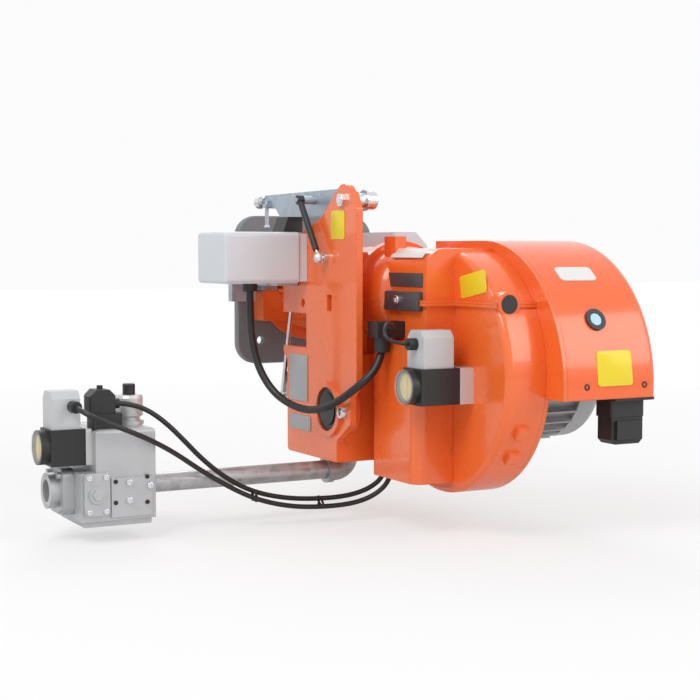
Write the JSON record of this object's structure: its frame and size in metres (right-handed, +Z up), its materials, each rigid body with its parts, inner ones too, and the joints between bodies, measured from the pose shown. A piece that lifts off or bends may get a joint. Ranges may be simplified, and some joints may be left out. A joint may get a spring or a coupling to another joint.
{
  "type": "industrial gas burner",
  "caption": "Forced-draught gas burner with flanged flame tube, linked air damper and gas butterfly, side servomotor, hinged opening arm, fan housing under a hood, and a threaded gas train.",
  "frame": {"origin": "centre of the boiler side of the mounting flange, on the flame axis", "axes": "+Y is the flame direction, into the boiler; +X is the side the fan motor is on; +Z is up"},
  "size_m": [0.7305, 0.722, 0.4587],
  "materials": {
    "orange_paint": "gloss",
    "dark_flange": "satin",
    "gasket_fibre": "matt",
    "steel": "satin",
    "bright_steel": "polished",
    "ceramic": "satin glaze",
    "galvanised": "mottled",
    "fan_steel": "satin",
    "motor_grey": "satin",
    "motor_steel": "satin",
    "black_plastic": "satin",
    "grey_plastic": "satin",
    "servo_grey": "satin",
    "panel_grey": "satin",
    "reset_blue": "gloss",
    "clear_cover": "gloss",
    "dial_yellow": "satin",
    "valve_cast": "satin",
    "butterfly_paint": "satin",
    "cable_black": "satin"
  },
  "bodies": {
    "burner": {"boiler_flange": "dark_flange", "flange_gasket": "gasket_fibre", "flame_tube": "steel", "diffuser_disc": "steel", "gas_head_tube": "steel", "electrodes": "ceramic", "head_neck": "orange_paint", "head_casting": "orange_paint", "port_plugs": "black_plastic", "fan_housing_upper": "orange_paint", "fan_housing_lower": "orange_paint", "air_intake": "orange_paint", "motor_plate": "orange_paint", "stator": "motor_steel", "motor_body": "motor_grey", "motor_cowl": "motor_grey", "hood": "orange_paint", "reset_bezel": "black_plastic", "power_socket": "black_plastic", "power_plug": "black_plastic", "control_box": "panel_grey", "servo_housing": "servo_grey", "terminal_block": "black_plastic", "servo_bracket": "galvanised", "butterfly_body": "butterfly_paint", "hinge_bolts": "bright_steel", "flange_bracket": "dark_flange", "gas_elbow": "galvanised", "gas_pipe": "galvanised", "valve_flanges": "valve_cast", "valve_body": "valve_cast", "valve_side_cover": "valve_cast", "coil_box": "black_plastic", "coil_plug": "black_plastic", "governor": "bright_steel", "switch_plates": "bright_steel", "air_switch_body": "black_plastic", "gas_switch_body": "black_plastic", "switch_covers": "clear_cover", "switch_plugs": "grey_plastic", "cable_glands": "black_plastic", "servo_conduit": "cable_black", "air_switch_cable": "cable_black", "coil_cable": "cable_black", "gas_switch_cable": "cable_black"},
    "rotor": {"fan_wheel": "fan_steel", "motor_rotor": "motor_steel"},
    "drive": {"servo_drive": "bright_steel"},
    "gas_rod": {"gas_link_rod": "bright_steel"},
    "air_rod": {"air_link_rod": "bright_steel"},
    "butterfly": {"butterfly_disc": "steel"},
    "damper": {"air_damper": "steel"},
    "arm_lift": {"arm": "galvanised"},
    "strut_tube": {"strut_cylinder": "black_plastic"},
    "strut_piston": {"strut_rod": "bright_steel"},
    "catch_knob": {"arm_knob": "bright_steel"},
    "reset": {"reset_button": "reset_blue"},
    "air_dial": {"air_switch_dial": "dial_yellow"},
    "gas_dial": {"gas_switch_dial": "dial_yellow"},
    "governor_cap": {"governor_knob": "black_plastic"}
  },
  "joints": [
    {"name": "rotor_spin", "type": "hinge", "parent": "burner", "child": "rotor", "pos_m": [0, -0.425, -0.102], "axis": [1, 0, 0], "continuous": true},
    {"name": "drive_turn", "type": "hinge", "parent": "burner", "child": "drive", "pos_m": [-0.1, -0.179, 0.05], "axis": [1, 0, 0], "range_deg": [0, 90]},
    {"name": "gas_rod_pivot", "type": "hinge", "parent": "drive", "child": "gas_rod", "pos_m": [-0.088, -0.1592, 0.0302], "axis": [1, 0, 0], "range_deg": [-90, 0]},
    {"name": "butterfly_turn", "type": "hinge", "parent": "burner", "child": "butterfly", "pos_m": [-0.05, -0.132, -0.138], "axis": [1, 0, 0], "range_deg": [0, 90]},
    {"name": "air_rod_pivot", "type": "hinge", "parent": "drive", "child": "air_rod", "pos_m": [-0.083, -0.18282, 0.07167], "axis": [1, 0, 0], "range_deg": [-90, 0]},
    {"name": "damper_turn", "type": "hinge", "parent": "burner", "child": "damper", "pos_m": [0, -0.262, 0], "axis": [1, 0, 0], "range_deg": [0, 90]},
    {"name": "arm_hinge", "type": "hinge", "parent": "burner", "child": "arm_lift", "pos_m": [-0.0917, -0.339, 0.132], "axis": [1, 0, 0], "range_deg": [0, 25]},
    {"name": "strut_tilt", "type": "hinge", "parent": "arm_lift", "child": "strut_tube", "pos_m": [-0.117, -0.23, 0.135], "axis": [1, 0, 0], "range_deg": [-9.8, 0]},
    {"name": "strut_slide", "type": "slide", "parent": "strut_tube", "child": "strut_piston", "axis": [0, -0.5858, -0.8104], "range_m": [0, 0.0353]},
    {"name": "catch_knob_turn", "type": "hinge", "parent": "arm_lift", "child": "catch_knob", "pos_m": [-0.0917, -0.045, 0.137], "axis": [0, 1, 0], "range_deg": [-180, 180]},
    {"name": "reset_press", "type": "slide", "parent": "burner", "child": "reset", "axis": [0, 0.891, -0.454], "range_m": [0, 0.004], "stiffness_N_per_m": 250, "springref_m": -0.002},
    {"name": "air_dial_turn", "type": "hinge", "parent": "burner", "child": "air_dial", "pos_m": [-0.085, -0.488, -0.116], "axis": [1, 0, 0], "range_deg": [-135, 135]},
    {"name": "gas_dial_turn", "type": "hinge", "parent": "burner", "child": "gas_dial", "pos_m": [-0.51, -0.26, -0.196], "axis": [1, 0, 0], "range_deg": [-135, 135]},
    {"name": "governor_turn", "type": "hinge", "parent": "burner", "child": "governor_cap", "pos_m": [-0.384, -0.245, -0.12], "axis": [0, 0, 1], "range_deg": [-180, 180]}
  ],
  "couplings": [
    {"joint": "gas_rod_pivot", "follows": "drive_turn", "ratio": -1},
    {"joint": "butterfly_turn", "follows": "drive_turn", "ratio": 1},
    {"joint": "air_rod_pivot", "follows": "drive_turn", "ratio": -1},
    {"joint": "damper_turn", "follows": "drive_turn", "ratio": 1},
    {"joint": "strut_tilt", "follows": "arm_hinge", "ratio": -0.39},
    {"joint": "strut_slide", "follows": "arm_hinge", "m_per_rad": 0.0807}
  ]
}
